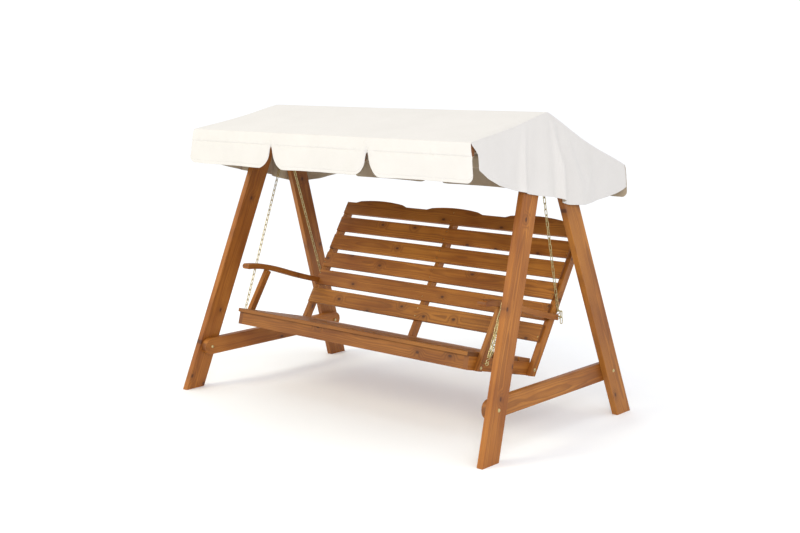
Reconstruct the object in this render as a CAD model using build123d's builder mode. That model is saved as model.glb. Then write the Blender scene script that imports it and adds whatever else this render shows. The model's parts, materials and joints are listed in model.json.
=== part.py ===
from build123d import *
import os
from math import atan, ceil, cos, radians, sin, sqrt, tan

# Canopy swing bench: two splayed timber A-frames, a top beam and roof frame with a fabric
# cover, and a slatted bench hung on four chains from two shackles. Millimetres.
# X runs along the bench, Y to the back, Z up. The origin is on the ground, midway between
# the front feet and the back edge of the roof.

# ---------------------------------------------------------------- driving dimensions
# A-frames
FOOT_HALF_X = 1062.0        # outer face of each A-frame at the ground
FOOT_HALF_Y = 645.6         # outer corner of each foot, from the frame's middle
LEG_WIDTH = 120.0
LEG_THICK = 34.0
SPLAY = 4.745               # degrees, each A-frame leans in towards the top
LEG_LEAN = 19.46            # degrees, each leg in the plane of its A-frame
LEG_TOP = 1541.0            # length up the A-frame where the apex is cut off
APEX_BOLT_Y = 60.0          # apex bolts, either side of the frame's middle
APEX_BOLT_UP = 1519.0
RAIL_WIDTH = 94.0
RAIL_HEIGHT = 241.0         # middle of the cross rail, up the A-frame

# Top beam and its hangers
BEAM_DEPTH = 150.0
BEAM_THICK = 60.0
BEAM_TOP = 1565.0
PLATE_THICK = 4.0
PLATE_HALF = 80.0
PLATE_LOW = 1400.0
PLATE_SHORT = 2.0           # the plates stop this far below the legs' tops
SHELF_LONG = 13.0           # the shelf the beam rests on, in from the hanger's plate

# Roof frame
RIDGE_Z = 1586.0            # top of the fabric along the ridge
FRONT_EDGE_Y = -606.0       # where the front slope meets the front valance
FRONT_EDGE_Z = 1467.0
BACK_EDGE_Y = 684.0
BACK_EDGE_Z = 1295.0
RAFTER_DEPTH = 70.0
RAFTER_THICK = 22.0
RAFTER_X = 888.0            # outer face of the front rafters; the rear ones stand inside them
RAFTER_SCREWS = (20.0, 50.0)    # height of a rafter's screws below the ridge end's top
BOARD_DEPTH = 60.0
BOARD_THICK = 28.0
FABRIC = 2.5
FABRIC_GAP = 2.0            # air between the fabric and the timber under it

# Roof cover
COVER_OUT = 6.0             # from the legs' outer faces to the inside of the cover's ends
FRONT_HEM_Z = 1283.0
BACK_HEM_Z = 1122.0
VALANCE_OUT = 9.0           # the valances stand this far outside the roof edges
NOTCH_X = 330.0
NOTCH_HALF = 66.0
NOTCH_TOP_DROP = 70.0       # from the roof edge down to the top of a notch
NOTCH_TIP = 8.0
NOTCH_FLARE = 12.0          # the panels' corners flare and round towards a notch
NOTCH_CORNER = 5.0
NOTCH_CURVE = 24.0
FLAP_FRONT_IN = 46.0        # the flaps' front edges slant back under the eaves board
FLAP_FRONT_Z = 1401.0
FLAP_BACK_Z = 1180.0
# hem of the side flaps: distance from the frame's middle, height
FLAP_HEM = [(-566, 1334), (-420, 1262), (-255, 1222), (-105, 1192), (20, 1172), (75, 1148),
            (150, 1128), (265, 1121), (490, 1142), (650, 1166)]

# Bench
BENCH_TILT = 13.8           # degrees, the seat falls towards the back
BACK_LEAN = 18.2            # degrees, posts against the seat
BENCH_Y = -441.0            # front lower corner of the side rails, from the frame's middle
BENCH_Z = 382.0
SIDE_X = 810.0              # outer face of the side rails
SIDE_THICK = 28.0
SIDE_DEPTH = 67.0
PLANK_THICK = 20.0
PLANK_WIDTH = 95.0
PLANK_PITCH = 108.0
PLANK_OVERHANG = 15.0
PLANK_HALF_X = 809.5
PLANKS = 5
POST_THICK = 28.0
POST_DEPTH = 45.0
BACK_LINE = 472.1           # where the slats' front plane meets the side rails' lower edge
POST_TOP = 836.0
SLAT_HALF_X = 824.0
SLAT_WIDTH = 93.0
SLAT_THICK = 18.0
SLAT_PITCH = 117.5
SLAT_LOW = 187.0
SLATS = 6
HUMP_HALF = 200.0           # half the width of one hump of the top slat, ramps included
HUMP_SPACING = 555.0
HUMP_RAMP = 34.0
HUMP_SHOULDER = 87.0
HUMP_RISE = 99.0
TOP_SLAT_LOW_EDGE = 75.0
HUMP_ROUND = 14.0
ARM_POST_FRONT = 47.0
ARM_POST_DEPTH = 34.0
ARM_INNER_X = 806.0
ARM_WIDTH = 50.0
ARM_THICK = 30.0
ARM_END = 641.0
ARM_POST_CUT = 340.0        # the arm posts are cut to this before the armrest's underside trims them
ARM_LINE = [(16, 323), (100, 334), (200, 335), (360, 323), (520, 314), (ARM_END, 313)]
BEARER_THICK = 28.0

# Chain: 4 mm wire, 32 mm inside length, 8 mm inside width
WIRE = 2.0                  # radius of the chain wire
LINK_BEND = 6.0             # centre line of a link's round ends
LINK_HALF = 18.0            # centre line of a link, half its length
PITCH_LIMIT = 31.2          # links never closer than this to taut, so that they stay clear
HANG_X = 885.0
HANG_Z = 1395.0             # swing axis
HANG_Y = 20.0               # swing axis, from the frame's middle, above the bench's centre
PIN_RADIUS = 3.0
PIN_PROUD = 3.0             # the shackle's pin past its bow
RING_BEND = 10.0
RING_WIRE = 3.5
BOW_WIRE = 2.5
BOW_HALF = 11.0
BOW_DROP = 28.0             # swing axis to the bottom of the shackle's bow
CHAIN_APART = 4.4           # each chain's place on the bow, beside its middle
EYE_BEND = 8.0
EYE_WIRE = 2.0
EYE_BESIDE = 6.0            # from the end of an armrest to the ring's edge
HOOK_BEND = 9.0
HOOK_TURN = 285             # degrees, each half of an S-hook
HOOK_GAP = 4.5              # wire centre to wire centre where two links hook together
REAR_EYE_X = 848.0
FRONT_EYE_X = 862.0
FRONT_EYE_UP = 42.0
LAID_OVER = 23.0            # degrees below level, the link that lies back over a rear hook
REAR_END_LINKS = 2          # spare links that hang from the laid-over link
SPARE_LINKS = 7             # straight run of spare links beside the right front chain
START_TURN = 65.0           # degrees round the hook, where the spare links start
START_LEAN = 28.0           # degrees, the first spare link away from the chain
CATCH_LEAN = 40.0           # degrees, the last spare link away from the chain
CATCH_LINK = 8              # it catches in this link, counted from the hook

# Fixings
BOLT = 4.0                  # radius of the through bolts
BOLT_HEAD = 9.0
BOLT_DOME = 4.5
NUT = 8.0
NUT_THICK = 7.0
SCREW = 2.0
SCREW_HEAD = 3.8
SCREW_LONG = 34.0
SCREW_SINK = 0.4            # the armrest curves away under its screw's head
SLAT_SCREWS = (0.25, 0.75)  # shares of a slat's width
SEAT_SCREWS = (0.3, 0.7)    # shares of a plank's width
HOLE_CLEAR = 0.3
ROUND = 3.0                 # eased long edges of the timber
SMALL_ROUND = 2.0

# ---------------------------------------------------------------- worked-out places
COVER_BACK_Y = BACK_EDGE_Y + VALANCE_OUT
FRAME_Y = (FOOT_HALF_Y - COVER_BACK_Y) / 2      # the A-frames' middle in the part's frame
SPLAY_RAD = radians(SPLAY)
LEAN_RAD = radians(LEG_LEAN)
TILT_RAD = radians(BENCH_TILT)
BACK_RAD = radians(BENCH_TILT + BACK_LEAN)
RELATIVE_RAD = radians(BACK_LEAN)
LEG_SPAN = LEG_WIDTH / cos(LEAN_RAD)
LEG_SLOPE = tan(LEAN_RAD)
BOLT_Y = FOOT_HALF_Y - LEG_SPAN / 2 - LEG_SLOPE * RAIL_HEIGHT
BEAM_LOW = BEAM_TOP - BEAM_DEPTH
POST_BACK = SLAT_THICK + POST_DEPTH
SEAT_TOP = SIDE_DEPTH + PLANK_THICK
FRONT_SLOPE = (RIDGE_Z - FRONT_EDGE_Z) / -FRONT_EDGE_Y
BACK_SLOPE = (RIDGE_Z - BACK_EDGE_Z) / BACK_EDGE_Y


def post_middle(start, near, far, up):
    """Distance along the rails of the middle of a post, at a height above their lower edge."""
    return start + (near + far) / 2 / cos(RELATIVE_RAD) + up * tan(RELATIVE_RAD)


BENCH_BOLTS = [
    (post_middle(ARM_POST_FRONT, 0, ARM_POST_DEPTH, SIDE_DEPTH / 4), SIDE_DEPTH / 4),
    (post_middle(BACK_LINE, SLAT_THICK, POST_BACK, SIDE_DEPTH / 2), SIDE_DEPTH / 2),
]

os.makedirs("parts", exist_ok=True)


def save(builder, name):
    """Label a finished piece and write it to its own file."""
    builder.part.label = name
    export_step(builder.part, f"parts/{name}.step")


def aframe_plane(offset=0.0):
    """Plane of the right A-frame: local x is Y, local y climbs the frame, offset is outwards."""
    outward = Vector(cos(SPLAY_RAD), 0, sin(SPLAY_RAD))
    foot = Vector(FOOT_HALF_X, FRAME_Y, 0)
    return Plane(origin=foot + outward * offset, x_dir=(0, 1, 0), z_dir=outward)


def left_twin(plane):
    """The same plane on the left side."""
    origin = Vector(-plane.origin.X, plane.origin.Y, plane.origin.Z)
    outward = Vector(-plane.z_dir.X, plane.z_dir.Y, plane.z_dir.Z)
    return Plane(origin=origin, x_dir=(0, 1, 0), z_dir=outward)


def trim_ends(offset):
    """Cut the piece being made off at planes parallel to the two A-frames."""
    end = aframe_plane(offset)
    split(bisect_by=end, keep=Keep.BOTTOM)
    split(bisect_by=left_twin(end), keep=Keep.BOTTOM)


def bench_plane(x=0.0):
    """Side view of the bench at X = x: local x runs back along the rails, local y is up."""
    corner = (x, FRAME_Y + BENCH_Y, BENCH_Z)
    return Plane(origin=corner, x_dir=(0, cos(TILT_RAD), -sin(TILT_RAD)), z_dir=(1, 0, 0))


def bench_point(x, along, up):
    """A point given on the bench's side view, in the part's frame."""
    return bench_plane(x).from_local_coords(Vector(along, up, 0))


def back_plane(x=0.0, start=BACK_LINE):
    """Side view along the back: local x is the depth behind the slats, local y climbs the back."""
    corner = bench_point(x, start, 0)
    return Plane(origin=corner, x_dir=(0, cos(BACK_RAD), -sin(BACK_RAD)), z_dir=(1, 0, 0))


def side_view(x=0.0):
    """Upright side view at X = x, measured from the A-frames' middle and the ground."""
    return Plane(origin=(x, FRAME_Y, 0), x_dir=(0, 1, 0), z_dir=(1, 0, 0))


def long_edges(part, length):
    """The straight edges of a timber that run its whole length."""
    return part.edges().filter_by(GeomType.LINE).filter_by(lambda edge: edge.length > length)


def mirrored(name, source):
    """Make and write the left-hand twin of a right-hand piece."""
    with BuildPart() as twin:
        mirror(source.part, about=Plane.YZ)
    save(twin, name)


# ---------------------------------------------------------------- A-frames
def leg_outline(side):
    """One leg in the plane of its A-frame; side is -1 for the front leg, +1 for the rear."""
    below = LEG_THICK
    foot_out = FOOT_HALF_Y + LEG_SLOPE * below
    corners = [
        (foot_out, -below),
        (foot_out - LEG_SPAN, -below),
        (0, (FOOT_HALF_Y - LEG_SPAN) / LEG_SLOPE),
        (0, LEG_TOP),
        (FOOT_HALF_Y - LEG_SLOPE * LEG_TOP, LEG_TOP),
    ]
    return [(side * y, up) for y, up in corners]


APEX_BOLTS = [(-APEX_BOLT_Y, APEX_BOLT_UP), (APEX_BOLT_Y, APEX_BOLT_UP)]


def drill(plane, places, radius):
    """Through holes in the piece being made, square to the plane."""
    with BuildSketch(plane) as holes:
        with Locations(*places):
            Circle(radius + HOLE_CLEAR)
    extrude(holes.sketch, amount=LEG_THICK * 4, both=True, mode=Mode.SUBTRACT)


def make_leg(name, side):
    with BuildPart() as leg:
        with BuildSketch(aframe_plane()):
            Polygon(*leg_outline(side), align=None)
        extrude(amount=-LEG_THICK)
        split(bisect_by=Plane.XY, keep=Keep.TOP)
        fillet(long_edges(leg.part, LEG_TOP * 0.7), ROUND)
        drill(aframe_plane(), [(side * BOLT_Y, RAIL_HEIGHT), (side * APEX_BOLT_Y, APEX_BOLT_UP)], BOLT)
    save(leg, f"right_{name}")
    mirrored(f"left_{name}", leg)


make_leg("front_leg", -1)
make_leg("rear_leg", 1)

with BuildPart() as cross_rail:
    with BuildSketch(aframe_plane(-LEG_THICK)):
        with Locations((0, RAIL_HEIGHT)):
            SlotCenterToCenter(BOLT_Y * 2, RAIL_WIDTH)
    extrude(amount=-LEG_THICK)
    fillet(long_edges(cross_rail.part, BOLT_Y), ROUND)
    drill(aframe_plane(), [(-BOLT_Y, RAIL_HEIGHT), (BOLT_Y, RAIL_HEIGHT)], BOLT)
save(cross_rail, "right_cross_rail")
mirrored("left_cross_rail", cross_rail)


# ---------------------------------------------------------------- bolts and nuts
def bolt_shape(length):
    """Round-headed bolt: the head's flat side is at z = 0 and the shank runs to -length."""
    dome_radius = (BOLT_HEAD ** 2 + BOLT_DOME ** 2) / (2 * BOLT_DOME)
    dome_middle = BOLT_DOME - dome_radius
    halfway = BOLT_HEAD / 2
    with BuildPart() as bolt:
        with BuildSketch(Plane.XZ):
            with BuildLine():
                Line((0, -length), (0, BOLT_DOME))
                ThreePointArc(
                    (0, BOLT_DOME),
                    (halfway, dome_middle + sqrt(dome_radius ** 2 - halfway ** 2)),
                    (BOLT_HEAD, 0),
                )
                Polyline((BOLT_HEAD, 0), (BOLT, 0), (BOLT, -length), (0, -length))
            make_face()
        revolve(axis=Axis.Z)
    return bolt.part


def nut_shape(depth):
    """Hexagon nut whose flat side meets the timber at z = -depth."""
    with BuildPart() as nut:
        with BuildSketch(Plane.XY.offset(-depth)):
            RegularPolygon(NUT, 6)
            Circle(BOLT, mode=Mode.SUBTRACT)
        extrude(amount=-NUT_THICK)
        chamfer(nut.faces().sort_by(Axis.Z)[0].outer_wire().edges(), 1)
    return nut.part


def place_group(name, shape, planes, both_sides=True):
    """Copies of one fixing on several planes, mirrored to the left side where asked."""
    with BuildPart() as group:
        with Locations(*planes):
            add(shape)
        if both_sides:
            mirror(group.part, about=Plane.YZ)
    save(group, name)


def on_aframe(points):
    base = aframe_plane()
    return [Plane(base.from_local_coords(Vector(y, up, 0)), base.x_dir, base.z_dir) for y, up in points]


RAIL_BOLTS = [(-BOLT_Y, RAIL_HEIGHT), (BOLT_Y, RAIL_HEIGHT)]
RAIL_GRIP = 2 * LEG_THICK
place_group("rail_bolts", bolt_shape(RAIL_GRIP + NUT_THICK), on_aframe(RAIL_BOLTS))
place_group("rail_nuts", nut_shape(RAIL_GRIP), on_aframe(RAIL_BOLTS))
APEX_GRIP = LEG_THICK + PLATE_THICK
place_group("apex_bolts", bolt_shape(APEX_GRIP + NUT_THICK), on_aframe(APEX_BOLTS))
place_group("apex_nuts", nut_shape(APEX_GRIP), on_aframe(APEX_BOLTS))

# ---------------------------------------------------------------- top beam and hangers
with BuildPart() as hanger:
    with BuildSketch(aframe_plane(-LEG_THICK)):
        with Locations((0, (PLATE_LOW + LEG_TOP) / 2)):
            RectangleRounded(PLATE_HALF * 2, LEG_TOP - PLATE_LOW - PLATE_SHORT, ROUND)
    extrude(amount=-PLATE_THICK)
    shelf_x = FOOT_HALF_X - tan(SPLAY_RAD) * BEAM_LOW - (LEG_THICK + PLATE_THICK / 2) / cos(SPLAY_RAD)
    with BuildSketch(Plane.XY.offset(BEAM_LOW - PLATE_THICK)):
        with Locations((shelf_x - SHELF_LONG / 2, FRAME_Y)):
            Rectangle(SHELF_LONG, BEAM_THICK)
    extrude(amount=PLATE_THICK)
    drill(aframe_plane(), APEX_BOLTS, BOLT)
save(hanger, "right_beam_hanger")
mirrored("left_beam_hanger", hanger)

with BuildPart() as top_beam:
    with BuildSketch(side_view(-FOOT_HALF_X)):
        with Locations((0, (BEAM_TOP + BEAM_LOW) / 2)):
            Rectangle(BEAM_THICK, BEAM_DEPTH)
    extrude(amount=2 * FOOT_HALF_X)
    trim_ends(-LEG_THICK - PLATE_THICK)
    fillet(long_edges(top_beam.part, FOOT_HALF_X), ROUND)
save(top_beam, "top_beam")


# ---------------------------------------------------------------- roof frame
def roof_under(y):
    """Height of the timber's top edge under the fabric, at y from the frame's middle."""
    slope = FRONT_SLOPE if y < 0 else BACK_SLOPE
    return RIDGE_Z - slope * abs(y) - (FABRIC + FABRIC_GAP) / cos(atan(slope))


def rafter_middle_x(side):
    """The front and rear rafters pass each other at the beam."""
    return RAFTER_X - RAFTER_THICK * (0.5 if side < 0 else 1.5)


def make_rafter(name, side, edge_y, slope):
    """One rafter, from the side of the top beam to its eaves board."""
    start = side * BEAM_THICK / 2
    end = edge_y - side * (FABRIC_GAP + BOARD_THICK)
    drop = RAFTER_DEPTH / cos(atan(slope))
    tops = [(start, roof_under(start)), (end, roof_under(end))]
    corners = tops + [(end, tops[1][1] - drop), (start, tops[0][1] - drop)]
    with BuildPart() as rafter:
        with BuildSketch(side_view(rafter_middle_x(side) - RAFTER_THICK / 2)):
            Polygon(*corners, align=None)
        extrude(amount=RAFTER_THICK)
        fillet(long_edges(rafter.part, abs(end) * 0.9), SMALL_ROUND)
    save(rafter, f"right_{name}")
    mirrored(f"left_{name}", rafter)


make_rafter("front_rafter", -1, FRONT_EDGE_Y, FRONT_SLOPE)
make_rafter("rear_rafter", 1, BACK_EDGE_Y, BACK_SLOPE)


def cover_inside_x(z):
    """Where the inside of the cover's right end is, at height z."""
    return FOOT_HALF_X - tan(SPLAY_RAD) * z + COVER_OUT / cos(SPLAY_RAD)


def make_eaves_board(name, side, edge_y):
    """Board on edge across the ends of the two rafters."""
    middle = edge_y - side * (FABRIC_GAP + BOARD_THICK / 2)
    top = roof_under(middle + side * BOARD_THICK / 2)
    half = cover_inside_x(top) - FABRIC_GAP
    with BuildPart() as board:
        with BuildSketch(side_view(-half)):
            with Locations((middle, top - BOARD_DEPTH / 2)):
                Rectangle(BOARD_THICK, BOARD_DEPTH)
        extrude(amount=2 * half)
        fillet(long_edges(board.part, half), SMALL_ROUND)
    save(board, name)
    return middle, top - BOARD_DEPTH / 2


FRONT_BOARD = make_eaves_board("front_roof_board", -1, FRONT_EDGE_Y)
BACK_BOARD = make_eaves_board("back_roof_board", 1, BACK_EDGE_Y)


def screw_shape(length):
    """Countersunk wood screw: the head is flush at z = 0 and the point is at -length."""
    with BuildPart() as screw:
        with BuildSketch(Plane.XZ):
            Polygon(
                (0, 0), (SCREW_HEAD, 0), (SCREW, -SCREW_HEAD + SCREW),
                (SCREW, -length + SCREW * 2), (0, -length), align=None,
            )
        revolve(axis=Axis.Z)
    return screw.part


# screws through the eaves boards into the rafters, and through the beam into the rafters' ends
board_screws = []
beam_screws = []
for side, (board_y, board_z) in ((-1, FRONT_BOARD), (1, BACK_BOARD)):
    middle_x = rafter_middle_x(side)
    for step in (-BOARD_DEPTH / 4, BOARD_DEPTH / 4):
        face = Vector(middle_x, FRAME_Y + board_y + side * BOARD_THICK / 2, board_z + step)
        board_screws.append(Plane(origin=face, x_dir=(1, 0, 0), z_dir=(0, side, 0)))
    for down in RAFTER_SCREWS:
        face = Vector(middle_x, FRAME_Y - side * BEAM_THICK / 2, roof_under(side * BEAM_THICK / 2) - down)
        beam_screws.append(Plane(origin=face, x_dir=(1, 0, 0), z_dir=(0, -side, 0)))
with BuildPart() as roof_screws:
    with Locations(*board_screws):
        add(screw_shape(SCREW_LONG + BOARD_THICK))
    with Locations(*beam_screws):
        add(screw_shape(SCREW_LONG + BEAM_THICK))
    mirror(roof_screws.part, about=Plane.YZ)
save(roof_screws, "roof_screws")


# ---------------------------------------------------------------- roof cover
def cover_profile(inset):
    """Side outline of the cover, valances included, inset from its outer face."""
    front = FRONT_EDGE_Y - VALANCE_OUT + inset
    back = COVER_BACK_Y - inset
    return [
        (front, FRONT_HEM_Z),
        (front, FRONT_EDGE_Z - VALANCE_OUT * FRONT_SLOPE - inset),
        (0, RIDGE_Z - inset),
        (back, BACK_EDGE_Z - VALANCE_OUT * BACK_SLOPE - inset),
        (back, BACK_HEM_Z),
    ]


def notch_outline(middle, hem_z, edge_z):
    """Teardrop notch between two valance panels, with flared lower corners."""
    top = edge_z - NOTCH_TOP_DROP
    half = [
        (NOTCH_HALF + NOTCH_FLARE, hem_z - NOTCH_CORNER),
        (NOTCH_HALF, hem_z + NOTCH_CORNER),
        (NOTCH_HALF * 0.6, hem_z + NOTCH_CURVE),
        (NOTCH_TIP * 2, (top + hem_z) / 2),
        (NOTCH_TIP, top - NOTCH_TIP * 2),
    ]
    left = [(middle - out, z) for out, z in half]
    right = [(middle + out, z) for out, z in half[::-1]]
    return left + [(middle, top)] + right


def side_flap():
    """The cover's right end, parallel to the A-frame and just outside it."""
    roof = cover_profile(FABRIC / 2)
    outline = FLAP_HEM + [
        (COVER_BACK_Y - FABRIC, FLAP_BACK_Z),
        (COVER_BACK_Y - FABRIC, roof[3][1]),
        roof[2],
        (FRONT_EDGE_Y + FABRIC, FRONT_EDGE_Z - FABRIC),
        (FRONT_EDGE_Y + FLAP_FRONT_IN, FLAP_FRONT_Z),
    ]
    with BuildPart() as flap:
        with BuildSketch(aframe_plane(COVER_OUT)):
            Polygon(*[(y, z / cos(SPLAY_RAD)) for y, z in outline], align=None)
        extrude(amount=FABRIC)
    return flap.part


flap_shape = side_flap()
with BuildPart() as canopy_cover:
    with BuildSketch(side_view(-FOOT_HALF_X)):
        Polygon(*(cover_profile(0) + cover_profile(FABRIC)[::-1]), align=None)
    extrude(amount=2 * FOOT_HALF_X)
    trim_ends(COVER_OUT + FABRIC)
    for face_y, hem_z, edge_z in (
        (FRONT_EDGE_Y - VALANCE_OUT, FRONT_HEM_Z, FRONT_EDGE_Z),
        (COVER_BACK_Y, BACK_HEM_Z, BACK_EDGE_Z),
    ):
        with BuildSketch(Plane.XZ.offset(-(FRAME_Y + face_y))):
            for middle in (-NOTCH_X, NOTCH_X):
                Polygon(*notch_outline(middle, hem_z, edge_z), align=None)
        extrude(amount=FABRIC * 3, both=True, mode=Mode.SUBTRACT)
    add(flap_shape)
    mirror(flap_shape, about=Plane.YZ)
save(canopy_cover, "canopy_cover")


# ---------------------------------------------------------------- bench frame
def bench_bar(name, x_from, x_to, corners, rounding=SMALL_ROUND):
    """A timber whose cross-section is drawn on the bench's side view."""
    with BuildPart() as bar:
        with BuildSketch(bench_plane(x_from)):
            Polygon(*corners, align=None)
        extrude(amount=x_to - x_from)
        if rounding:
            fillet(long_edges(bar.part, abs(x_to - x_from) * 0.99), rounding)
    save(bar, name)


def box_corners(low, high, bottom, top):
    return [(low, bottom), (high, bottom), (high, top), (low, top)]


def post_back_line(up):
    """Distance along the rails of the posts' back edge, at a height above the rails' lower edge."""
    return BACK_LINE + POST_BACK / cos(RELATIVE_RAD) + up * tan(RELATIVE_RAD)


rail_outline = [
    (0, 0),
    (post_back_line(0) - SMALL_ROUND, 0),
    (post_back_line(SIDE_DEPTH) - SMALL_ROUND, SIDE_DEPTH),
    (0, SIDE_DEPTH),
]


def make_bearer(x_from, x_to, start, places):
    """A rail under the planks, from front to back."""
    outline = [(max(along, start), up) for along, up in rail_outline]
    with BuildPart() as bearer:
        with BuildSketch(bench_plane(x_from)):
            Polygon(*outline, align=None)
        extrude(amount=x_to - x_from)
        fillet(long_edges(bearer.part, BACK_LINE), SMALL_ROUND)
        drill(bench_plane(x_from), places, BOLT)
    return bearer


side_rail = make_bearer(SIDE_X - SIDE_THICK, SIDE_X, 0, BENCH_BOLTS)
save(side_rail, "right_side_rail")
mirrored("left_side_rail", side_rail)
centre_bearer = make_bearer(POST_THICK / 2, POST_THICK / 2 + BEARER_THICK, SIDE_THICK, BENCH_BOLTS[1:])
save(centre_bearer, "centre_bearer")
front_half = SIDE_X - SIDE_THICK
bench_bar("front_rail", -front_half, front_half, box_corners(0, SIDE_THICK, 0, SIDE_DEPTH))

for number in range(PLANKS):
    start = -PLANK_OVERHANG + number * PLANK_PITCH
    corners = box_corners(start, start + PLANK_WIDTH, SIDE_DEPTH, SEAT_TOP)
    bench_bar(f"seat_plank_{number + 1}", -PLANK_HALF_X, PLANK_HALF_X, corners, ROUND)


# ---------------------------------------------------------------- back
def post_outline(near, far, top):
    """A post between two depths, its foot cut along the rails' lower edge."""
    rise = tan(RELATIVE_RAD)
    return [(near, near * rise), (far, far * rise), (far, top), (near, top)]


def make_back_post(x_from):
    with BuildPart() as post:
        with BuildSketch(back_plane(x_from)):
            Polygon(*post_outline(SLAT_THICK, POST_BACK, POST_TOP), align=None)
        extrude(amount=POST_THICK)
        fillet(long_edges(post.part, POST_TOP * 0.9), SMALL_ROUND)
        drill(bench_plane(x_from), BENCH_BOLTS[1:], BOLT)
    return post


back_post = make_back_post(SIDE_X)
save(back_post, "right_back_post")
mirrored("left_back_post", back_post)
save(make_back_post(-POST_THICK / 2), "centre_back_post")

for number in range(SLATS - 1):
    low = SLAT_LOW + number * SLAT_PITCH
    with BuildPart() as slat:
        with BuildSketch(back_plane(-SLAT_HALF_X)):
            with Locations((SLAT_THICK / 2, low + SLAT_WIDTH / 2)):
                Rectangle(SLAT_THICK, SLAT_WIDTH)
        extrude(amount=2 * SLAT_HALF_X)
        fillet(long_edges(slat.part, SLAT_HALF_X), ROUND)
    save(slat, f"back_slat_{number + 1}")


def front_of_back(up):
    """Plane on the slats' front face: local x is X, local y climbs the back from `up`."""
    face = back_plane(0)
    origin = face.from_local_coords(Vector(0, up, 0))
    return Plane(origin=origin, x_dir=(1, 0, 0), z_dir=-face.x_dir)


with BuildPart() as top_slat:
    with BuildSketch(front_of_back(SLAT_LOW + (SLATS - 1) * SLAT_PITCH)):
        with BuildLine():
            Polyline((-SLAT_HALF_X, TOP_SLAT_LOW_EDGE), (-SLAT_HALF_X, 0), (SLAT_HALF_X, 0),
                     (SLAT_HALF_X, TOP_SLAT_LOW_EDGE))
            reach = SLAT_HALF_X
            for middle in (HUMP_SPACING, 0, -HUMP_SPACING):
                right = middle + HUMP_HALF
                left = middle - HUMP_HALF
                Line((reach, TOP_SLAT_LOW_EDGE), (right, TOP_SLAT_LOW_EDGE))
                Line((right, TOP_SLAT_LOW_EDGE), (right - HUMP_RAMP, HUMP_SHOULDER))
                ThreePointArc((right - HUMP_RAMP, HUMP_SHOULDER), (middle, HUMP_RISE),
                              (left + HUMP_RAMP, HUMP_SHOULDER))
                Line((left + HUMP_RAMP, HUMP_SHOULDER), (left, TOP_SLAT_LOW_EDGE))
                reach = left
            Line((reach, TOP_SLAT_LOW_EDGE), (-SLAT_HALF_X, TOP_SLAT_LOW_EDGE))
        face = make_face()
        ramps = face.vertices().filter_by(lambda v: abs(v.X) < SLAT_HALF_X - 1 and v.Y > 1)
        fillet(ramps, HUMP_ROUND)
    extrude(amount=-SLAT_THICK)
save(top_slat, f"back_slat_{SLATS}")


# ---------------------------------------------------------------- arms
with BuildPart() as armrest:
    with BuildSketch(bench_plane(ARM_INNER_X)):
        top_line = [(along, up + ARM_THICK / 2) for along, up in ARM_LINE]
        under_line = [(along, up - ARM_THICK / 2) for along, up in ARM_LINE]
        with BuildLine():
            Spline(*top_line)
            Line(top_line[-1], under_line[-1])
            Spline(*under_line)
            nose = (ARM_LINE[0][0] - ARM_THICK / 2, ARM_LINE[0][1])
            ThreePointArc(under_line[0], nose, top_line[0])
        make_face()
    extrude(amount=ARM_WIDTH)
    fillet(armrest.faces().filter_by(Axis.X).edges(), SMALL_ROUND * 2)
    # notch round the back post and the ends of the slats
    with BuildSketch(back_plane(0)) as notch:
        Polygon(*box_corners(0, POST_BACK + ARM_THICK, 0, POST_TOP), align=None)
    extrude(notch.sketch, amount=SIDE_X + POST_THICK, mode=Mode.SUBTRACT)
save(armrest, "right_armrest")
mirrored("left_armrest", armrest)

with BuildPart() as arm_post:
    with BuildSketch(back_plane(SIDE_X, ARM_POST_FRONT)):
        Polygon(*post_outline(0, ARM_POST_DEPTH, ARM_POST_CUT), align=None)
    extrude(amount=POST_THICK)
    fillet(long_edges(arm_post.part, SIDE_DEPTH * 2), SMALL_ROUND)
    drill(bench_plane(SIDE_X), BENCH_BOLTS[:1], BOLT)
    # the post ends under the armrest
    with BuildSketch(bench_plane(SIDE_X - POST_THICK)) as above:
        with BuildLine():
            Spline(*under_line)
            Polyline(under_line[-1], (ARM_END, POST_TOP), (-ARM_END, POST_TOP),
                     (-ARM_END, under_line[0][1]), under_line[0])
        make_face()
    extrude(above.sketch, amount=POST_THICK * 3, mode=Mode.SUBTRACT)
save(arm_post, "right_arm_post")
mirrored("left_arm_post", arm_post)


# ---------------------------------------------------------------- bench fixings
def on_bench(x, points, outward=1):
    base = bench_plane(x)
    return [
        Plane(base.from_local_coords(Vector(along, up, 0)), base.x_dir, base.z_dir * outward)
        for along, up in points
    ]


SIDE_GRIP = SIDE_THICK + POST_THICK
CENTRE_GRIP = BEARER_THICK + POST_THICK
side_bolt = bolt_shape(SIDE_GRIP + NUT_THICK)
side_nut = nut_shape(SIDE_GRIP)
with BuildPart() as bench_bolts:
    with Locations(*on_bench(SIDE_X + POST_THICK, BENCH_BOLTS)):
        add(side_bolt)
    mirror(bench_bolts.part, about=Plane.YZ)
    with Locations(*on_bench(-POST_THICK / 2, BENCH_BOLTS[1:], -1)):
        add(side_bolt)
save(bench_bolts, "bench_bolts")
with BuildPart() as bench_nuts:
    with Locations(*on_bench(SIDE_X + POST_THICK, BENCH_BOLTS)):
        add(side_nut)
    mirror(bench_nuts.part, about=Plane.YZ)
    with Locations(*on_bench(-POST_THICK / 2, BENCH_BOLTS[1:], -1)):
        add(side_nut)
save(bench_nuts, "bench_nuts")

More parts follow.
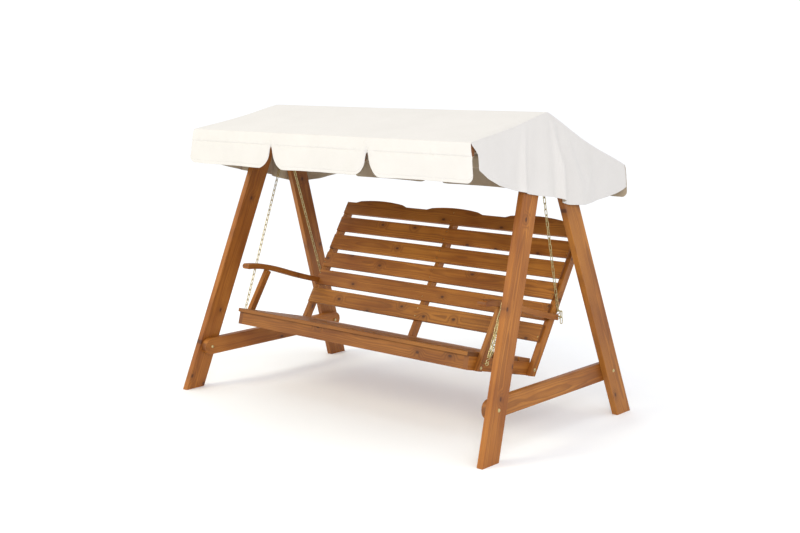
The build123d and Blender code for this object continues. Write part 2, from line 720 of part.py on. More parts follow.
POST_MIDDLES = (-SIDE_X - POST_THICK / 2, 0, SIDE_X + POST_THICK / 2)
slat_screw_places = []
for number in range(SLATS):
    for share in SLAT_SCREWS:
        height = SLAT_LOW + number * SLAT_PITCH + SLAT_WIDTH * share
        for x in POST_MIDDLES:
            x_inside = min(max(x, -SLAT_HALF_X + SCREW_HEAD * 2), SLAT_HALF_X - SCREW_HEAD * 2)
            face = front_of_back(height)
            slat_screw_places.append(Plane(face.origin + Vector(x_inside, 0, 0), face.x_dir, face.z_dir))
place_group("slat_screws", screw_shape(SCREW_LONG), slat_screw_places, both_sides=False)

BEARER_MIDDLES = (
    -SIDE_X + SIDE_THICK / 2,
    POST_THICK / 2 + BEARER_THICK / 2,
    SIDE_X - SIDE_THICK / 2,
)
seat_screw_places = []
for number in range(PLANKS):
    for share in SEAT_SCREWS:
        along = -PLANK_OVERHANG + number * PLANK_PITCH + PLANK_WIDTH * share
        for x in BEARER_MIDDLES:
            origin = bench_point(x, along, SEAT_TOP)
            up = Vector(0, sin(TILT_RAD), cos(TILT_RAD))
            seat_screw_places.append(Plane(origin=origin, x_dir=(1, 0, 0), z_dir=up))
place_group("seat_screws", screw_shape(SCREW_LONG), seat_screw_places, both_sides=False)

arm_screw_places = []
arm_post_middle = ARM_POST_FRONT + ARM_POST_DEPTH / 2 + ARM_LINE[2][1] * tan(RELATIVE_RAD)
arm_top = bench_point(SIDE_X + POST_THICK / 2, arm_post_middle, ARM_LINE[2][1] + ARM_THICK / 2 - SCREW_SINK)
arm_screw_places.append(Plane(origin=arm_top, x_dir=(1, 0, 0), z_dir=(0, sin(TILT_RAD), cos(TILT_RAD))))
back_joint = post_back_line(ARM_LINE[-1][1]) - POST_DEPTH / 2
arm_side = bench_point(ARM_INNER_X + ARM_WIDTH, back_joint, ARM_LINE[-1][1])
arm_screw_places.append(Plane(origin=arm_side, x_dir=(0, 1, 0), z_dir=(1, 0, 0)))
place_group("arm_screws", screw_shape(SCREW_LONG + ARM_THICK / 2), arm_screw_places)


# ---------------------------------------------------------------- swing hardware
def link_shape():
    """One chain link: its long axis is local X, its plane is local XY."""
    straight = LINK_HALF - LINK_BEND
    with BuildPart() as link:
        for end in (1, -1):
            turn_axis = Axis((end * straight, 0, 0), (0, 0, 1))
            with BuildSketch(Plane.YZ.offset(end * straight)) as bend_section:
                with Locations((LINK_BEND, 0)):
                    Circle(WIRE)
            revolve(bend_section.sketch, axis=turn_axis, revolution_arc=-180 * end)
        with BuildSketch(Plane.YZ.offset(-straight)) as sides:
            with Locations((LINK_BEND, 0), (-LINK_BEND, 0)):
                Circle(WIRE)
        extrude(sides.sketch, amount=2 * straight)
    return link.part


LINK = link_shape()


def link_planes(start, end, odd):
    """Planes for the links of a taut chain between two hooking points.

    `odd` says whether the number of links is odd. The first link's plane is square to X, and
    the links take turns from there.
    """
    run = end - start
    count = ceil((run.length + 2 * LINK_HALF) / PITCH_LIMIT) - 1
    if count % 2 != int(odd):
        count += 1
    pitch = (run.length + 2 * LINK_HALF) / (count + 1)
    along = run.normalized()
    square_to_x = (Vector(1, 0, 0) - along * along.X).normalized()
    other = along.cross(square_to_x)
    planes = []
    for number in range(count):
        middle = start + along * (pitch - LINK_HALF + number * pitch)
        normal = square_to_x if number % 2 == 0 else other
        planes.append(Plane(origin=middle, x_dir=along, z_dir=normal))
    return planes


def frame_point(x, y, z):
    """A point measured from the A-frames' middle."""
    return Vector(x, FRAME_Y + y, z)


# eye screws in the top beam: ring in the side view, shank up into the beam
ring_z = HANG_Z + RING_BEND - RING_WIRE - PIN_RADIUS - HOLE_CLEAR
with BuildPart() as beam_eyes:
    with BuildSketch(Plane(origin=frame_point(HANG_X, HANG_Y, ring_z), x_dir=(0, 1, 0), z_dir=(0, 0, 1))):
        with Locations((RING_BEND, 0)):
            Circle(RING_WIRE)
    revolve(axis=Axis(frame_point(HANG_X, HANG_Y, ring_z), (1, 0, 0)))
    with BuildSketch(Plane(origin=frame_point(HANG_X, HANG_Y, ring_z + RING_BEND))):
        Circle(BOLT)
    extrude(amount=BEAM_LOW - ring_z + BEAM_THICK)
    mirror(beam_eyes.part, about=Plane.YZ)
save(beam_eyes, "beam_eye_screws")

# shackles: a pin through each ring and a bow under it
with BuildPart() as shackles:
    pin_half = BOW_HALF + BOW_WIRE + PIN_PROUD
    with BuildSketch(Plane.YZ.offset(HANG_X - pin_half)) as pin:
        with Locations((FRAME_Y + HANG_Y, HANG_Z)):
            Circle(PIN_RADIUS)
    extrude(pin.sketch, amount=2 * pin_half)
    side_drop = BOW_DROP - BOW_HALF
    for side in (-1, 1):
        with BuildSketch(Plane(origin=frame_point(HANG_X + side * BOW_HALF, HANG_Y, HANG_Z))) as leg:
            Circle(BOW_WIRE)
        extrude(leg.sketch, amount=-side_drop)
    bend_middle = frame_point(HANG_X, HANG_Y, HANG_Z - side_drop)
    with BuildSketch(Plane(origin=bend_middle)) as bow:
        with Locations((BOW_HALF, 0)):
            Circle(BOW_WIRE)
    revolve(bow.sketch, axis=Axis(bend_middle, (0, 1, 0)), revolution_arc=180)
    mirror(shackles.part, about=Plane.YZ)
save(shackles, "shackles")

bow_rise = BOW_HALF - sqrt(BOW_HALF ** 2 - CHAIN_APART ** 2)
HANG_LINK_Z = HANG_Z - BOW_DROP + bow_rise + BOW_WIRE - WIRE + HOLE_CLEAR
HANG_FRONT = frame_point(HANG_X + CHAIN_APART, HANG_Y, HANG_LINK_Z)
HANG_REAR = frame_point(HANG_X - CHAIN_APART, HANG_Y, HANG_LINK_Z)

front_eye_along = post_middle(ARM_POST_FRONT, 0, ARM_POST_DEPTH, FRONT_EYE_UP)
FRONT_EYE = bench_point(FRONT_EYE_X, front_eye_along, FRONT_EYE_UP)
REAR_EYE = bench_point(REAR_EYE_X, ARM_END + EYE_BEND + EYE_BESIDE, ARM_LINE[-1][1])


def eye_screw(ring_middle, shank_dir, ring_normal, length):
    """Screw eye: a ring and a shank from the ring's edge along shank_dir."""
    with BuildPart() as eye:
        across = Plane(origin=ring_middle, x_dir=shank_dir, z_dir=shank_dir.cross(ring_normal))
        with BuildSketch(across) as section:
            with Locations((EYE_BEND, 0)):
                Circle(EYE_WIRE)
        revolve(section.sketch, axis=Axis(ring_middle, ring_normal))
        with BuildSketch(Plane(origin=ring_middle + shank_dir * EYE_BEND, z_dir=shank_dir)) as shank:
            Circle(EYE_WIRE)
        extrude(shank.sketch, amount=length)
    return eye.part


def hook_shape():
    """S-hook: its long axis is local Y, its plane is local XY."""
    with BuildPart() as hook:
        with BuildLine() as path:
            CenterArc((0, HOOK_BEND), HOOK_BEND, HOOK_TURN - 90, -HOOK_TURN)
            CenterArc((0, -HOOK_BEND), HOOK_BEND, 90, HOOK_TURN)
        line = path.line
        with BuildSketch(Plane(origin=line @ 0, z_dir=line % 0)):
            Circle(WIRE)
        sweep(path=line)
    return hook.part


HOOK = hook_shape()


def chain_foot(ring_middle, hang):
    """S-hook plane and the chain's lower hooking point, above an eye."""
    up = (hang - ring_middle).normalized()
    hook_middle = ring_middle + up * (EYE_BEND - HOOK_GAP + 2 * HOOK_BEND)
    return up, hook_middle, hook_middle + up * 2 * HOOK_BEND


rear_up, rear_hook, rear_foot = chain_foot(REAR_EYE, HANG_REAR)
front_up, front_hook, front_foot = chain_foot(FRONT_EYE, HANG_FRONT)
rail_dir = bench_plane().x_dir
side_dir = Vector(1, 0, 0)
rear_eye = eye_screw(REAR_EYE, rail_dir * -1, side_dir, EYE_BEND + SCREW_LONG / 2)
front_eye = eye_screw(FRONT_EYE, side_dir * -1, (side_dir.cross(front_up)).normalized(),
                      FRONT_EYE_X - SIDE_X - EYE_BEND - SMALL_ROUND)
with BuildPart() as eye_screws:
    add([rear_eye, front_eye])
    mirror(eye_screws.part, about=Plane.YZ)
save(eye_screws, "arm_eye_screws")

# the rear hook lies across the ring, so its plane holds X; the front hook lies in the side view
rear_across = (side_dir - rear_up * rear_up.X).normalized()
front_out = (side_dir - front_up * front_up.X).normalized()
front_across = front_up.cross(front_out)
hook_planes = [
    Plane(origin=rear_hook, x_dir=rear_across, z_dir=rear_across.cross(rear_up)),
    Plane(origin=front_hook, x_dir=front_across, z_dir=front_across.cross(front_up)),
]
place_group("s_hooks", HOOK, hook_planes)


def make_links(name, planes):
    with BuildPart() as chain:
        with Locations(*planes):
            add(LINK)
    save(chain, f"right_{name}")
    mirrored(f"left_{name}", chain)


rear_chain_planes = link_planes(HANG_REAR, rear_foot, odd=True)
front_chain_planes = link_planes(HANG_FRONT, front_foot, odd=False)

# the last used link of a rear chain is followed by one that lies back over the hook
laid_dir = Vector(0, cos(radians(LAID_OVER)), -sin(radians(LAID_OVER)))
laid_middle = rear_foot + rear_up * HOOK_GAP + laid_dir * LINK_HALF
laid_end = laid_middle + laid_dir * LINK_HALF
rear_chain_planes.append(Plane(origin=laid_middle, x_dir=laid_dir, z_dir=laid_dir.cross(side_dir)))
make_links("rear_chain", rear_chain_planes)
make_links("front_chain", front_chain_planes)


def hanging_planes(pivot, count):
    """Links that hang straight down from a wire centred on the pivot, the first square to X."""
    planes = []
    pitch = 2 * LINK_HALF - HOOK_GAP
    for number in range(count):
        middle = pivot + Vector(0, 0, HOOK_GAP - LINK_HALF - number * pitch)
        normal = (1, 0, 0) if number % 2 == 0 else (0, 1, 0)
        planes.append(Plane(origin=middle, x_dir=(0, 0, -1), z_dir=normal))
    return planes


make_links("rear_chain_end", hanging_planes(laid_end, REAR_END_LINKS))

# the right front chain has spare links: they start on the hook beside the chain, run back up
# next to it and catch in one of its links under the armrest
start_turn = radians(START_TURN)
hook_inside = front_across * sin(start_turn) + front_up * cos(start_turn)
start_wire = front_foot - front_up * HOOK_BEND + hook_inside * (HOOK_BEND - HOOK_GAP)
start_dir = front_across * sin(radians(START_LEAN)) + front_up * cos(radians(START_LEAN))
catch_wire = front_chain_planes[-CATCH_LINK].origin
catch_dir = front_across * sin(radians(CATCH_LEAN)) - front_up * cos(radians(CATCH_LEAN))
strand_start = start_wire + start_dir * (2 * LINK_HALF - HOOK_GAP)
strand_end = catch_wire + catch_dir * (2 * LINK_HALF - HOOK_GAP)
strand = strand_end - strand_start
strand_dir = strand.normalized()
spare_planes = [
    Plane(origin=start_wire + start_dir * LINK_HALF, x_dir=start_dir, z_dir=start_dir.cross(front_out)),
    Plane(origin=catch_wire + catch_dir * LINK_HALF, x_dir=catch_dir, z_dir=catch_dir.cross(front_out)),
]
for number in range(SPARE_LINKS):
    middle = strand_start + strand * ((number + 0.5) / SPARE_LINKS)
    normal = front_out if number % 2 == 0 else strand_dir.cross(front_out)
    spare_planes.append(Plane(origin=middle, x_dir=strand_dir, z_dir=normal))
place_group("right_front_chain_end", LINK, spare_planes, both_sides=False)
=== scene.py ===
import json
import math

import bmesh
import bpy
import numpy as np
from mathutils import Euler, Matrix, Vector


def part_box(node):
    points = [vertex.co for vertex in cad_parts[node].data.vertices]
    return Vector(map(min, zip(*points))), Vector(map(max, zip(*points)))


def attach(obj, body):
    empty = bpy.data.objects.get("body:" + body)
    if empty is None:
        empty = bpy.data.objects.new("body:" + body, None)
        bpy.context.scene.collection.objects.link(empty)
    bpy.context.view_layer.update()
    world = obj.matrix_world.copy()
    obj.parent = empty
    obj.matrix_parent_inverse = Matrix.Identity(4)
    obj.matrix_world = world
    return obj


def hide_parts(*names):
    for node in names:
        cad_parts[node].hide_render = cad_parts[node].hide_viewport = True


# Canopy swing bench: stained pine, yellow-zinc chains and fixings, and a canvas cover. Metres.
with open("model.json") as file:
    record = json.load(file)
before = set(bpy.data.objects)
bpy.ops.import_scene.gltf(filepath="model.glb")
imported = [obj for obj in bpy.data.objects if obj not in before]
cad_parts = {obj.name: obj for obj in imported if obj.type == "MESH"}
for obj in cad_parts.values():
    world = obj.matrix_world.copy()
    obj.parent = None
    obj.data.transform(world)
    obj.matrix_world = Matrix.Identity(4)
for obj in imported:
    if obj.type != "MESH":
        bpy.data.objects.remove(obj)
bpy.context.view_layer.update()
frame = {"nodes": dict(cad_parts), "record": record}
nodes = frame["nodes"]
scene = bpy.context.scene

for old in [o for o in bpy.data.objects if o.type in ("CAMERA", "LIGHT")]:
    bpy.data.objects.remove(old)
if "Cube" in bpy.data.objects:
    bpy.data.objects.remove(bpy.data.objects["Cube"])


# ---------------------------------------------------------------- node helpers
class Graph:
    """Short way to build a material's nodes."""

    def __init__(self, name):
        self.material = bpy.data.materials.new(name)
        self.material.use_nodes = True
        self.tree = self.material.node_tree
        self.tree.nodes.clear()
        self.out = self.tree.nodes.new("ShaderNodeOutputMaterial")
        self.shader = self.tree.nodes.new("ShaderNodeBsdfPrincipled")
        self.link(self.shader.outputs[0], self.out.inputs[0])

    def link(self, source, target):
        self.tree.links.new(source, target)

    def put(self, target, value):
        """Link a socket to the target, or set the target to a plain value."""
        if isinstance(value, bpy.types.NodeSocket):
            self.link(value, target)
        else:
            target.default_value = value

    def node(self, kind, **settings):
        made = self.tree.nodes.new(kind)
        for key, value in settings.items():
            setattr(made, key, value)
        return made

    def coords(self, output="Object"):
        return self.node("ShaderNodeTexCoord").outputs[output]

    def math(self, operation, a, b=None, c=None):
        made = self.node("ShaderNodeMath", operation=operation)
        for socket, value in zip(made.inputs, (a, b, c)):
            if value is not None:
                self.put(socket, value)
        return made.outputs[0]

    def vector(self, operation, a, b=None):
        made = self.node("ShaderNodeVectorMath", operation=operation)
        self.put(made.inputs[0], a)
        if b is not None:
            self.put(made.inputs[1], b)
        return made.outputs["Value"] if operation == "DOT_PRODUCT" else made.outputs[0]

    def combine(self, x, y, z):
        made = self.node("ShaderNodeCombineXYZ")
        for socket, value in zip(made.inputs, (x, y, z)):
            self.put(socket, value)
        return made.outputs[0]

    def stretch(self, u, v, w, along, across):
        """A place scaled by `along` in u and by `across` in v and w."""
        return self.combine(self.math("MULTIPLY", u, along), self.math("MULTIPLY", v, across),
                            self.math("MULTIPLY", w, across))

    def noise(self, vector, scale, detail=3.0, rough=0.55):
        made = self.node("ShaderNodeTexNoise")
        self.put(made.inputs["Vector"], vector)
        made.inputs["Scale"].default_value = scale
        made.inputs["Detail"].default_value = detail
        made.inputs["Roughness"].default_value = rough
        return made.outputs["Fac"]

    def ramp(self, factor, stops):
        made = self.node("ShaderNodeValToRGB")
        self.put(made.inputs[0], factor)
        elements = made.color_ramp.elements
        while len(elements) < len(stops):
            elements.new(0.5)
        for element, (place, colour) in zip(elements, stops):
            element.position = place
            element.color = colour if len(colour) == 4 else (*colour, 1.0)
        return made.outputs[0]

    def mix(self, factor, a, b, blend="MIX"):
        made = self.node("ShaderNodeMix", data_type="RGBA", blend_type=blend)
        self.put(made.inputs["Factor"], factor)
        self.put(made.inputs[6], a)
        self.put(made.inputs[7], b)
        return made.outputs[2]

    def bump(self, height, strength, distance, normal=None):
        made = self.node("ShaderNodeBump")
        made.inputs["Strength"].default_value = strength
        made.inputs["Distance"].default_value = distance
        self.put(made.inputs["Height"], height)
        if normal is not None:
            self.link(normal, made.inputs["Normal"])
        return made.outputs[0]


def step(graph, value, low, high):
    """0 below low, 1 above high, smooth between."""
    made = graph.node("ShaderNodeMapRange", interpolation_type="SMOOTHSTEP", clamp=True)
    graph.put(made.inputs[0], value)
    made.inputs[1].default_value = low
    made.inputs[2].default_value = high
    return made.outputs[0]


# ---------------------------------------------------------------- wood
# colours are linear; lengths are in metres, and scales are features per metre
PINE_LIGHT = (0.432, 0.166, 0.024)
PINE_MID = (0.250, 0.077, 0.008)
PINE_LATE = (0.130, 0.036, 0.006)
PINE_KNOT = (0.062, 0.018, 0.005)
PINE_END = (0.150, 0.050, 0.012)

# boards that took more stain than the rest
DARKER = {"pine_front_rail": 0.70, "pine_seat_plank_1": 0.76}


def board_axes(obj):
    """Middle, and the length, width and thickness directions of a board."""
    points = np.array([v.co for v in obj.data.vertices])
    low, high = points.min(0), points.max(0)
    middle = (low + high) / 2
    centred = points - points.mean(0)
    vectors = np.linalg.eigh(centred.T @ centred)[1]
    return Vector(middle), [Vector(vectors[:, i]) for i in (2, 1, 0)]


KNOT_CELLS = (4.6, 7.5)         # knot cells per metre, along and across a board
KNOT_SHARE = 0.50               # share of the cells left without a knot
KNOT_SIZE = 0.075               # a knot's radius, in cells
KNOT_CORE = 0.35                # share of the radius that is fully dark
KNOT_DARK = 0.85
KNOT_PULL = 3.6                 # the grain bends round a knot out to this many radii
KNOT_BEND = 0.012
KNOT_HALO = 0.45
RING_WANDER = 0.05              # how far the rings' centre line wanders along a board
RING_TILT = 0.022
RING_WOBBLE = 0.004
RINGS_PER_METRE = (170, 260)
FIBRE_SCALE = (9.0, 900.0)      # along and across the grain
STREAK_SCALE = (2.0, 60.0)
PATCH_SCALE = (2.2, 5.0)
GLOSS_LEVEL = 0.35


def pine(name, middle, axes, seed):
    """Stained pine with its grain along the first of the axes."""
    rng = np.random.default_rng(seed)
    along, across, through = axes
    graph = Graph(name)
    place = graph.vector("SUBTRACT", graph.coords(), tuple(middle))
    u = graph.math("ADD", graph.vector("DOT_PRODUCT", place, tuple(along)), float(rng.uniform(0, 40)))
    v = graph.vector("DOT_PRODUCT", place, tuple(across))
    w = graph.vector("DOT_PRODUCT", place, tuple(through))
    shift_v = float(rng.uniform(-0.03, 0.03))
    shift_w = float(rng.uniform(0.035, 0.09)) * (1 if rng.random() < 0.5 else -1)
    # knots: a few dark ellipses, with the rings bending round them
    knot_place = graph.combine(graph.math("MULTIPLY", u, KNOT_CELLS[0]),
                               graph.math("MULTIPLY_ADD", v, KNOT_CELLS[1], float(rng.uniform(0, 9))), 0.0)
    cells = graph.node("ShaderNodeTexVoronoi", voronoi_dimensions="2D", feature="F1")
    graph.put(cells.inputs["Vector"], knot_place)
    cells.inputs["Scale"].default_value = 1.0
    cells.inputs["Randomness"].default_value = 0.9
    knot_far = cells.outputs["Distance"]
    splitter = graph.node("ShaderNodeSeparateColor")
    graph.link(cells.outputs["Color"], splitter.inputs[0])
    chosen = step(graph, splitter.outputs[0], KNOT_SHARE, KNOT_SHARE + 0.01)
    outside = step(graph, knot_far, KNOT_SIZE * KNOT_CORE, KNOT_SIZE)
    in_knot = graph.math("MULTIPLY", graph.math("SUBTRACT", 1.0, outside), chosen)
    in_knot = graph.math("MULTIPLY", in_knot, KNOT_DARK)
    far_off = step(graph, knot_far, 0.0, KNOT_SIZE * KNOT_PULL)
    pull = graph.math("MULTIPLY", graph.math("SUBTRACT", 1.0, far_off), chosen)
    # growth rings about a line beside the board, wandering along its length
    slow_place = graph.combine(graph.math("MULTIPLY", u, 1.4), graph.math("MULTIPLY", v, 3.0), w)
    slow = graph.noise(slow_place, 1.0, 2.0)
    slow_two = graph.noise(graph.combine(graph.math("MULTIPLY", u, 0.8), 7.3, w), 1.0, 1.0)
    wander_v = graph.math("MULTIPLY_ADD", slow_two, RING_WANDER, shift_v - RING_WANDER / 2)
    wander_w = graph.math("MULTIPLY_ADD", slow, RING_TILT, shift_w - RING_TILT / 2)
    ring_v = graph.math("ADD", v, wander_v)
    ring_w = graph.math("ADD", w, wander_w)
    radius = graph.math("SQRT", graph.math("ADD", graph.math("MULTIPLY", ring_v, ring_v),
                                           graph.math("MULTIPLY", ring_w, ring_w)))
    wobble = graph.noise(graph.stretch(u, v, w, 6.0, 40.0), 1.0, 2.0)
    bent = graph.math("ADD", radius, graph.math("MULTIPLY_ADD", wobble, RING_WOBBLE, -RING_WOBBLE / 2))
    bent = graph.math("ADD", bent, graph.math("MULTIPLY", pull, KNOT_BEND))
    rings = graph.math("MULTIPLY", bent, float(rng.uniform(*RINGS_PER_METRE)))
    phase = graph.math("FRACT", rings)
    # each ring darkens slowly to its late wood, then ends sharply
    late = graph.math("MULTIPLY", step(graph, phase, 0.25, 0.86),
                      graph.math("SUBTRACT", 1.0, step(graph, phase, 0.90, 1.0)))
    fibre = graph.noise(graph.stretch(u, v, w, *FIBRE_SCALE), 1.0, 3.0, 0.7)
    streak = graph.noise(graph.stretch(u, v, w, *STREAK_SCALE), 1.0, 3.0)
    patch_place = graph.combine(graph.math("MULTIPLY", u, PATCH_SCALE[0]),
                                graph.math("MULTIPLY", v, PATCH_SCALE[1]), w)
    patch = graph.noise(patch_place, 1.0, 2.0)
    broad = graph.math("ADD", graph.math("MULTIPLY", patch, 0.6), graph.math("MULTIPLY", streak, 0.4))
    tone = graph.ramp(broad, [(0.38, PINE_MID), (0.60, PINE_LIGHT)])
    late_amount = graph.math("MULTIPLY", late, graph.math("MULTIPLY_ADD", streak, 0.85, 0.0))
    colour = graph.mix(late_amount, tone, (*PINE_LATE, 1.0))
    fibre_tone = graph.ramp(fibre, [(0.32, (0.80, 0.78, 0.74)), (0.68, (1.12, 1.12, 1.12))])
    colour = graph.mix(1.0, colour, fibre_tone, "MULTIPLY")
    colour = graph.mix(graph.math("MULTIPLY", pull, KNOT_HALO), colour, (*PINE_LATE, 1.0))
    colour = graph.mix(in_knot, colour, (*PINE_KNOT, 1.0))
    # sawn ends drink more stain
    facing = graph.math("ABSOLUTE", graph.vector("DOT_PRODUCT", graph.coords("Normal"), tuple(along)))
    colour = graph.mix(graph.math("MULTIPLY", step(graph, facing, 0.82, 0.95), 0.8), colour, (*PINE_END, 1.0))
    board_tone = float(rng.uniform(0.88, 1.10)) * DARKER.get(name, 1.0)
    board_green = board_tone * float(rng.uniform(0.96, 1.03))
    colour = graph.mix(1.0, colour, (board_tone, board_green, board_tone * 0.98, 1.0), "MULTIPLY")
    graph.link(colour, graph.shader.inputs["Base Color"])
    rough = graph.math("MULTIPLY_ADD", fibre, 0.22, 0.42)
    graph.link(rough, graph.shader.inputs["Roughness"])
    graph.shader.inputs["Specular IOR Level"].default_value = GLOSS_LEVEL
    height = graph.math("SUBTRACT", graph.math("MULTIPLY", fibre, 0.5), graph.math("MULTIPLY", late, 0.35))
    graph.link(graph.bump(height, 0.35, 0.0006), graph.shader.inputs["Normal"])
    return graph.material


SLOT_OF = {subpart["node"]: subpart["material_slot"] for subpart in frame["record"]["subparts"]}
ALONG_X = ("slat", "plank", "front_rail", "roof_board", "top_beam")
WOOD = sorted(name for name in nodes if SLOT_OF.get(name) == "stained_pine")
for number, name in enumerate(WOOD):
    obj = nodes[name]
    middle, axes = board_axes(obj)
    if any(word in name for word in ALONG_X):
        axes[0] = Vector((1, 0, 0))
    obj.data.materials.clear()
    obj.data.materials.append(pine(f"pine_{name}", middle, axes, 100 + number * 7))


# ---------------------------------------------------------------- metal
def metal(name, light, dark, rough, scale):
    graph = Graph(name)
    place = graph.coords()
    cloud = graph.noise(place, scale, 4.0, 0.6)
    fine = graph.noise(place, scale * 9, 2.0, 0.6)
    graph.link(graph.ramp(cloud, [(0.3, dark), (0.7, light)]), graph.shader.inputs["Base Color"])
    graph.shader.inputs["Metallic"].default_value = 1.0
    graph.link(graph.math("MULTIPLY_ADD", fine, 0.25, rough), graph.shader.inputs["Roughness"])
    graph.link(graph.bump(fine, 0.15, 0.0003), graph.shader.inputs["Normal"])
    return graph.material


YELLOW_ZINC = metal("yellow_zinc", (0.66, 0.57, 0.31), (0.36, 0.29, 0.12), 0.22, 160)
STEEL = metal("galvanised_steel", (0.62, 0.63, 0.64), (0.36, 0.37, 0.39), 0.34, 90)
METALS = {"yellow_zinc": YELLOW_ZINC, "galvanised_steel": STEEL}
for name, slot in SLOT_OF.items():
    if slot in METALS:
        nodes[name].data.materials.clear()
        nodes[name].data.materials.append(METALS[slot])


# ---------------------------------------------------------------- canopy cover
THREAD_PITCH = 0.0011           # distance between the weave's threads
THREAD_HEIGHT = 0.0004


def canvas(name, light, dark, thread):
    """Plain-woven canvas, slightly uneven in tone."""
    graph = Graph(name)
    place = graph.coords()
    parts = graph.node("ShaderNodeSeparateXYZ")
    graph.put(parts.inputs[0], place)
    px, py, pz = parts.outputs
    pitch = 2 * math.pi / THREAD_PITCH
    warp = graph.math("SINE", graph.math("MULTIPLY", px, pitch))
    weft = graph.math("SINE", graph.math("MULTIPLY", graph.math("ADD", py, pz), pitch))
    weave = graph.math("MULTIPLY_ADD", graph.math("MULTIPLY", warp, weft), 0.5, 0.5)
    cloud = graph.noise(place, 5.0, 4.0, 0.6)
    slub = graph.noise(graph.stretch(px, py, pz, 40.0, 900.0), 1.0, 2.0)
    tone = graph.ramp(cloud, [(0.25, dark), (0.75, light)])
    shade = graph.ramp(graph.math("MULTIPLY_ADD", slub, 0.5, graph.math("MULTIPLY", weave, 0.5)),
                       [(0.2, (0.93, 0.93, 0.92)), (0.8, (1.02, 1.02, 1.02))])
    graph.link(graph.mix(1.0, tone, shade, "MULTIPLY"), graph.shader.inputs["Base Color"])
    graph.shader.inputs["Roughness"].default_value = 0.88
    graph.shader.inputs["Sheen Weight"].default_value = 0.25
    graph.shader.inputs["Sheen Roughness"].default_value = 0.5
    graph.shader.inputs["Specular IOR Level"].default_value = 0.15
    soft = graph.noise(place, 22.0, 3.0, 0.55)
    first = graph.bump(soft, 0.12, 0.004)
    graph.link(graph.bump(weave, thread, THREAD_HEIGHT, first), graph.shader.inputs["Normal"])
    return graph.material


CANVAS = canvas("canvas_outside", (0.612, 0.592, 0.580), (0.580, 0.560, 0.548), 0.35)
# inside of the cover: partly the cloth's browner back, partly painted shade, darker than the outside to stand
# for the shade under the canopy
CANVAS_INSIDE_SHADED = canvas("canvas_inside_painted_shade", (0.440, 0.365, 0.265), (0.400, 0.325, 0.232), 0.35)

cover_low, cover_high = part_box("canopy_cover")
SPLAY = math.radians(4.745)     # the cover's ends are parallel to the A-frames
FRONT_Y = cover_low.y
BACK_Y = cover_high.y
RIDGE_Z = cover_high.z
RIDGE_Y = -0.0237
EDGE_IN = 0.009             # the roof edges stand this far inside the valances
FRONT_EDGE_Z = 1.467
BACK_EDGE_Z = 1.295
FRONT_HEM_Z = 1.283
BACK_HEM_Z = cover_low.z + 0.001
NOTCH_X = 0.330
NOTCH_DROP = 0.070          # from the roof edge down to the top of a notch
NOTCH_STEPS = (0.0, 0.002, 0.005, 0.009, 0.015, 0.026, 0.042, 0.060, 0.080, 0.115)
END_STEPS = (0.0016, 0.004, 0.008, 0.014, 0.020, 0.027, 0.036)
THICK = 0.0016
INSET = 0.0012              # the sheet's outer face under the CAD cover's
SLACK_FROM = 0.945          # share of the half length where the roof's ends start to hang
FRONT_SLACK = 0.008
BACK_SLACK = 0.016
END_DROP = 0.0012
SLOPE_SAG = 0.0032          # depth of a slope's sag between the ridge and the eaves board
RIDGE_SAG = 0.0022          # depth of the ridge's sag between the A-frames
ROOF_CREASE = 0.0018
FRONT_RIPPLE = 0.0048       # depth of the waves in the valances' hems
BACK_RIPPLE = 0.0045
RIPPLE_GROWTH = 1.4         # power by which the waves grow down a valance
PUCKER = 0.0022             # small waves along the front's line of stitches
FRONT_SEAM = 0.0045         # depth of the groove at a line of stitches
BACK_SEAM = 0.0026
FRONT_HEM_DENT = 0.0022     # depth of the dent along the top of a turned-up hem
FLAP_HEM_DENT = 0.0014
FRONT_BELLY = 0.004         # how far the front valance swells out halfway down
NOTCH_FLARE = 0.006         # how far the cloth beside a notch stands out
LEFT_CORNER_OUT = 0.022     # how far the front valance's ends swing outwards
RIGHT_CORNER_OUT = 0.004
BACK_CORNER_OUT = 0.004
FLARE_FROM = 0.90           # share of the half length where the valances' ends start to flare
CORNER = 0.034              # radius of the valances' outer corners
SEWN_DROP = 0.064           # line of stitches under the eaves board
SEWN_WIDE = 0.0035
HEM_BAND = 0.014            # turned-up hem
FOLD_GROWTH = 0.24          # a flap's folds reach their full depth this far down
FLAP_RIPPLE = 0.0030
FLAP_OUT = 0.004            # how far a flap stands off below the roof edge
FLAP_IN = 0.0015            # a flap's own plane, inside the CAD cover's end
FLAP_IN_MOST = -0.001       # its folds go no further in than this
SLEEVE_GAP = 0.004          # air between an eaves board and its sleeve
SLEEVE_AT_RAFTER = 0.006    # the sleeves stop this far from a rafter
SLEEVE_AT_END = 0.003       # and this far from the board's ends
SLEEVE_SEAM = 0.0105        # from the valance's inner face to the sleeve's sewn edge


def half_x(z):
    """Outside of the cover's right end at height z."""
    return cover_high.x - math.tan(SPLAY) * (z - cover_low.z)


def along_line(points, place):
    """Height at a place on a line through (place, height) points."""
    return float(np.interp(place, [p[0] for p in points], [p[1] for p in points]))


def notch_height(distance, hem_z, top_z):
    """Hem height near a notch, from its middle outwards."""
    shape = [
        (0.0, top_z), (0.005, top_z - 0.006), (0.009, top_z - 0.020),
        (0.015, (top_z + hem_z) / 2 + 0.004), (0.026, hem_z + 0.040), (0.042, hem_z + 0.020),
        (0.060, hem_z + 0.008), (0.080, hem_z - 0.001), (0.115, hem_z - 0.002), (0.200, hem_z),
    ]
    return along_line(shape, distance)


def hem_height(x, share, hem_z, edge_z):
    """Height of a valance's hem at x; share is 1 at its outer end."""
    distance = min(abs(x - NOTCH_X), abs(x + NOTCH_X))
    z = notch_height(distance, hem_z, edge_z - NOTCH_DROP)
    # the outer corners are rounded
    outer = (1 - abs(share)) * half_x(hem_z)
    if outer < CORNER:
        z += CORNER - math.sqrt(max(CORNER ** 2 - (CORNER - outer) ** 2, 0.0))
    return z


